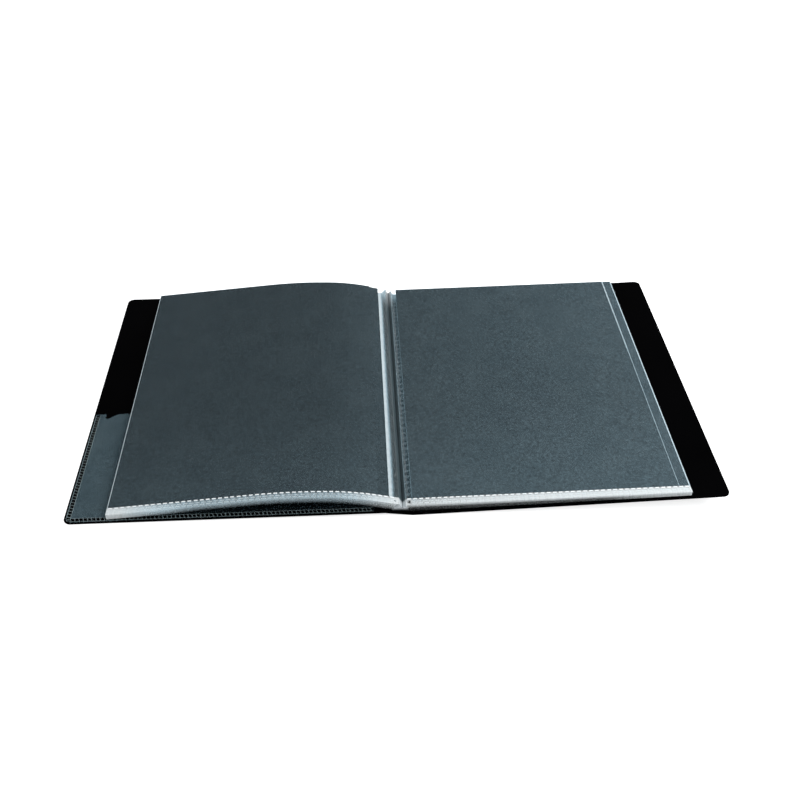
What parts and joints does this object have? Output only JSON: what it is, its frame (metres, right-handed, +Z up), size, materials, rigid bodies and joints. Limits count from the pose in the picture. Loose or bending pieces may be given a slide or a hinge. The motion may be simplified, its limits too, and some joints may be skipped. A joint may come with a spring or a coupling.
{
  "type": "clear pocket display book",
  "caption": "Open A4 display book: black hinged covers and spine, welded clear pocket leaves that turn, each holding a black sheet that slides out, and a clear pocket inside the front cover.",
  "frame": {"origin": "on the table, under the middle of the open book", "axes": "+X across the open spread towards the back cover, +Y towards the pockets' open top edge, +Z up"},
  "size_m": [0.5174, 0.31, 0.0194],
  "materials": {
    "cover_plastic": "fine-grained black polypropylene",
    "pocket_film": "clear matt film, white at welds and cut edges",
    "document_film": "clear matt film with a knurled weld",
    "welded_film": "stacked welded film, milky",
    "insert_paper": "matt black paper"
  },
  "bodies": {
    "spine": {"spine_panel": "cover_plastic", "spine_binding": "welded_film"},
    "front_cover": {"front_cover": "cover_plastic", "inside_pocket": "document_film"},
    "back_cover": {"back_cover": "cover_plastic"},
    "left_leaf_01": {"left_pocket_01": "pocket_film"},
    "left_leaf_02": {"left_pocket_02": "pocket_film"},
    "left_leaf_03": {"left_pocket_03": "pocket_film"},
    "left_leaf_04": {"left_pocket_04": "pocket_film"},
    "left_leaf_05": {"left_pocket_05": "pocket_film"},
    "left_leaf_06": {"left_pocket_06": "pocket_film"},
    "left_leaf_07": {"left_pocket_07": "pocket_film"},
    "left_leaf_08": {"left_pocket_08": "pocket_film"},
    "left_leaf_09": {"left_pocket_09": "pocket_film"},
    "left_leaf_10": {"left_pocket_10": "pocket_film"},
    "right_leaf_01": {"right_pocket_01": "pocket_film"},
    "right_leaf_02": {"right_pocket_02": "pocket_film"},
    "right_leaf_03": {"right_pocket_03": "pocket_film"},
    "right_leaf_04": {"right_pocket_04": "pocket_film"},
    "right_leaf_05": {"right_pocket_05": "pocket_film"},
    "right_leaf_06": {"right_pocket_06": "pocket_film"},
    "right_leaf_07": {"right_pocket_07": "pocket_film"},
    "right_leaf_08": {"right_pocket_08": "pocket_film"},
    "right_leaf_09": {"right_pocket_09": "pocket_film"},
    "right_leaf_10": {"right_pocket_10": "pocket_film"},
    "left_sheet_01": {"left_insert_01": "insert_paper"},
    "left_sheet_02": {"left_insert_02": "insert_paper"},
    "left_sheet_03": {"left_insert_03": "insert_paper"},
    "left_sheet_04": {"left_insert_04": "insert_paper"},
    "left_sheet_05": {"left_insert_05": "insert_paper"},
    "left_sheet_06": {"left_insert_06": "insert_paper"},
    "left_sheet_07": {"left_insert_07": "insert_paper"},
    "left_sheet_08": {"left_insert_08": "insert_paper"},
    "left_sheet_09": {"left_insert_09": "insert_paper"},
    "left_sheet_10": {"left_insert_10": "insert_paper"},
    "right_sheet_01": {"right_insert_01": "insert_paper"},
    "right_sheet_02": {"right_insert_02": "insert_paper"},
    "right_sheet_03": {"right_insert_03": "insert_paper"},
    "right_sheet_04": {"right_insert_04": "insert_paper"},
    "right_sheet_05": {"right_insert_05": "insert_paper"},
    "right_sheet_06": {"right_insert_06": "insert_paper"},
    "right_sheet_07": {"right_insert_07": "insert_paper"},
    "right_sheet_08": {"right_insert_08": "insert_paper"},
    "right_sheet_09": {"right_insert_09": "insert_paper"},
    "right_sheet_10": {"right_insert_10": "insert_paper"}
  },
  "joints": [
    {"name": "front_cover_hinge", "type": "hinge", "parent": "spine", "child": "front_cover", "pos_m": [-0.01095, 0, 0.00335], "axis": [0, 1, 0], "range_deg": [0, 91]},
    {"name": "back_cover_hinge", "type": "hinge", "parent": "spine", "child": "back_cover", "pos_m": [0.01115, 0, 0.0004], "axis": [0, -1, 0], "range_deg": [0, 79.5]},
    {"name": "left_leaf_01_turn", "type": "hinge", "parent": "spine", "child": "left_leaf_01", "pos_m": [-0.00059, 0, 0.00955], "axis": [0, 1, 0], "range_deg": [0, 91]},
    {"name": "left_leaf_02_turn", "type": "hinge", "parent": "spine", "child": "left_leaf_02", "pos_m": [-0.00123, 0, 0.00887], "axis": [0, 1, 0], "range_deg": [0, 91]},
    {"name": "left_leaf_03_turn", "type": "hinge", "parent": "spine", "child": "left_leaf_03", "pos_m": [-0.00187, 0, 0.00819], "axis": [0, 1, 0], "range_deg": [0, 91]},
    {"name": "left_leaf_04_turn", "type": "hinge", "parent": "spine", "child": "left_leaf_04", "pos_m": [-0.00251, 0, 0.00751], "axis": [0, 1, 0], "range_deg": [0, 91]},
    {"name": "left_leaf_05_turn", "type": "hinge", "parent": "spine", "child": "left_leaf_05", "pos_m": [-0.00315, 0, 0.00683], "axis": [0, 1, 0], "range_deg": [0, 91]},
    {"name": "left_leaf_06_turn", "type": "hinge", "parent": "spine", "child": "left_leaf_06", "pos_m": [-0.00379, 0, 0.00615], "axis": [0, 1, 0], "range_deg": [0, 91]},
    {"name": "left_leaf_07_turn", "type": "hinge", "parent": "spine", "child": "left_leaf_07", "pos_m": [-0.00443, 0, 0.00547], "axis": [0, 1, 0], "range_deg": [0, 91]},
    {"name": "left_leaf_08_turn", "type": "hinge", "parent": "spine", "child": "left_leaf_08", "pos_m": [-0.00507, 0, 0.00479], "axis": [0, 1, 0], "range_deg": [0, 91]},
    {"name": "left_leaf_09_turn", "type": "hinge", "parent": "spine", "child": "left_leaf_09", "pos_m": [-0.00571, 0, 0.00411], "axis": [0, 1, 0], "range_deg": [0, 91]},
    {"name": "left_leaf_10_turn", "type": "hinge", "parent": "spine", "child": "left_leaf_10", "pos_m": [-0.00635, 0, 0.00343], "axis": [0, 1, 0], "range_deg": [0, 91]},
    {"name": "right_leaf_01_turn", "type": "hinge", "parent": "right_leaf_02", "child": "right_leaf_01", "pos_m": [0.00441, 0, 0.00831], "axis": [0, 1, 0], "range_deg": [-154, 0]},
    {"name": "right_leaf_02_turn", "type": "hinge", "parent": "spine", "child": "right_leaf_02", "pos_m": [0.00477, 0, 0.00756], "axis": [0, -1, 0], "range_deg": [0, 80.45]},
    {"name": "right_leaf_03_turn", "type": "hinge", "parent": "spine", "child": "right_leaf_03", "pos_m": [0.00513, 0, 0.00681], "axis": [0, -1, 0], "range_deg": [0, 80.34]},
    {"name": "right_leaf_04_turn", "type": "hinge", "parent": "spine", "child": "right_leaf_04", "pos_m": [0.00549, 0, 0.00606], "axis": [0, -1, 0], "range_deg": [0, 80.22]},
    {"name": "right_leaf_05_turn", "type": "hinge", "parent": "spine", "child": "right_leaf_05", "pos_m": [0.00585, 0, 0.00531], "axis": [0, -1, 0], "range_deg": [0, 80.1]},
    {"name": "right_leaf_06_turn", "type": "hinge", "parent": "spine", "child": "right_leaf_06", "pos_m": [0.00621, 0, 0.00456], "axis": [0, -1, 0], "range_deg": [0, 79.98]},
    {"name": "right_leaf_07_turn", "type": "hinge", "parent": "spine", "child": "right_leaf_07", "pos_m": [0.00657, 0, 0.00381], "axis": [0, -1, 0], "range_deg": [0, 79.86]},
    {"name": "right_leaf_08_turn", "type": "hinge", "parent": "spine", "child": "right_leaf_08", "pos_m": [0.00693, 0, 0.00306], "axis": [0, -1, 0], "range_deg": [0, 79.74]},
    {"name": "right_leaf_09_turn", "type": "hinge", "parent": "spine", "child": "right_leaf_09", "pos_m": [0.00729, 0, 0.00231], "axis": [0, -1, 0], "range_deg": [0, 79.62]},
    {"name": "right_leaf_10_turn", "type": "hinge", "parent": "spine", "child": "right_leaf_10", "pos_m": [0.00765, 0, 0.00156], "axis": [0, -1, 0], "range_deg": [0, 79.5]},
    {"name": "left_sheet_01_slide", "type": "slide", "parent": "left_leaf_01", "child": "left_sheet_01", "axis": [0, 1, 0], "range_m": [0, 0.3]},
    {"name": "left_sheet_02_slide", "type": "slide", "parent": "left_leaf_02", "child": "left_sheet_02", "axis": [0, 1, 0], "range_m": [0, 0.3]},
    {"name": "left_sheet_03_slide", "type": "slide", "parent": "left_leaf_03", "child": "left_sheet_03", "axis": [0, 1, 0], "range_m": [0, 0.3]},
    {"name": "left_sheet_04_slide", "type": "slide", "parent": "left_leaf_04", "child": "left_sheet_04", "axis": [0, 1, 0], "range_m": [0, 0.3]},
    {"name": "left_sheet_05_slide", "type": "slide", "parent": "left_leaf_05", "child": "left_sheet_05", "axis": [0, 1, 0], "range_m": [0, 0.3]},
    {"name": "left_sheet_06_slide", "type": "slide", "parent": "left_leaf_06", "child": "left_sheet_06", "axis": [0, 1, 0], "range_m": [0, 0.3]},
    {"name": "left_sheet_07_slide", "type": "slide", "parent": "left_leaf_07", "child": "left_sheet_07", "axis": [0, 1, 0], "range_m": [0, 0.3]},
    {"name": "left_sheet_08_slide", "type": "slide", "parent": "left_leaf_08", "child": "left_sheet_08", "axis": [0, 1, 0], "range_m": [0, 0.3]},
    {"name": "left_sheet_09_slide", "type": "slide", "parent": "left_leaf_09", "child": "left_sheet_09", "axis": [0, 1, 0], "range_m": [0, 0.3]},
    {"name": "left_sheet_10_slide", "type": "slide", "parent": "left_leaf_10", "child": "left_sheet_10", "axis": [0, 1, 0], "range_m": [0, 0.3]},
    {"name": "right_sheet_01_slide", "type": "slide", "parent": "right_leaf_01", "child": "right_sheet_01", "axis": [0, 1, 0], "range_m": [0, 0.3]},
    {"name": "right_sheet_02_slide", "type": "slide", "parent": "right_leaf_02", "child": "right_sheet_02", "axis": [0, 1, 0], "range_m": [0, 0.3]},
    {"name": "right_sheet_03_slide", "type": "slide", "parent": "right_leaf_03", "child": "right_sheet_03", "axis": [0, 1, 0], "range_m": [0, 0.3]},
    {"name": "right_sheet_04_slide", "type": "slide", "parent": "right_leaf_04", "child": "right_sheet_04", "axis": [0, 1, 0], "range_m": [0, 0.3]},
    {"name": "right_sheet_05_slide", "type": "slide", "parent": "right_leaf_05", "child": "right_sheet_05", "axis": [0, 1, 0], "range_m": [0, 0.3]},
    {"name": "right_sheet_06_slide", "type": "slide", "parent": "right_leaf_06", "child": "right_sheet_06", "axis": [0, 1, 0], "range_m": [0, 0.3]},
    {"name": "right_sheet_07_slide", "type": "slide", "parent": "right_leaf_07", "child": "right_sheet_07", "axis": [0, 1, 0], "range_m": [0, 0.3]},
    {"name": "right_sheet_08_slide", "type": "slide", "parent": "right_leaf_08", "child": "right_sheet_08", "axis": [0, 1, 0], "range_m": [0, 0.3]},
    {"name": "right_sheet_09_slide", "type": "slide", "parent": "right_leaf_09", "child": "right_sheet_09", "axis": [0, 1, 0], "range_m": [0, 0.3]},
    {"name": "right_sheet_10_slide", "type": "slide", "parent": "right_leaf_10", "child": "right_sheet_10", "axis": [0, 1, 0], "range_m": [0, 0.3]}
  ],
  "couplings": [
    {"joint": "left_leaf_01_turn", "follows": "front_cover_hinge", "ratio": 1},
    {"joint": "left_leaf_02_turn", "follows": "front_cover_hinge", "ratio": 1},
    {"joint": "left_leaf_03_turn", "follows": "front_cover_hinge", "ratio": 1},
    {"joint": "left_leaf_04_turn", "follows": "front_cover_hinge", "ratio": 1},
    {"joint": "left_leaf_05_turn", "follows": "front_cover_hinge", "ratio": 1},
    {"joint": "left_leaf_06_turn", "follows": "front_cover_hinge", "ratio": 1},
    {"joint": "left_leaf_07_turn", "follows": "front_cover_hinge", "ratio": 1},
    {"joint": "left_leaf_08_turn", "follows": "front_cover_hinge", "ratio": 1},
    {"joint": "left_leaf_09_turn", "follows": "front_cover_hinge", "ratio": 1},
    {"joint": "left_leaf_10_turn", "follows": "front_cover_hinge", "ratio": 1},
    {"joint": "right_leaf_02_turn", "follows": "back_cover_hinge", "ratio": 1.012},
    {"joint": "right_leaf_03_turn", "follows": "back_cover_hinge", "ratio": 1.0105},
    {"joint": "right_leaf_04_turn", "follows": "back_cover_hinge", "ratio": 1.009},
    {"joint": "right_leaf_05_turn", "follows": "back_cover_hinge", "ratio": 1.0075},
    {"joint": "right_leaf_06_turn", "follows": "back_cover_hinge", "ratio": 1.006},
    {"joint": "right_leaf_07_turn", "follows": "back_cover_hinge", "ratio": 1.0045},
    {"joint": "right_leaf_08_turn", "follows": "back_cover_hinge", "ratio": 1.003},
    {"joint": "right_leaf_09_turn", "follows": "back_cover_hinge", "ratio": 1.0015},
    {"joint": "right_leaf_10_turn", "follows": "back_cover_hinge", "ratio": 1}
  ]
}
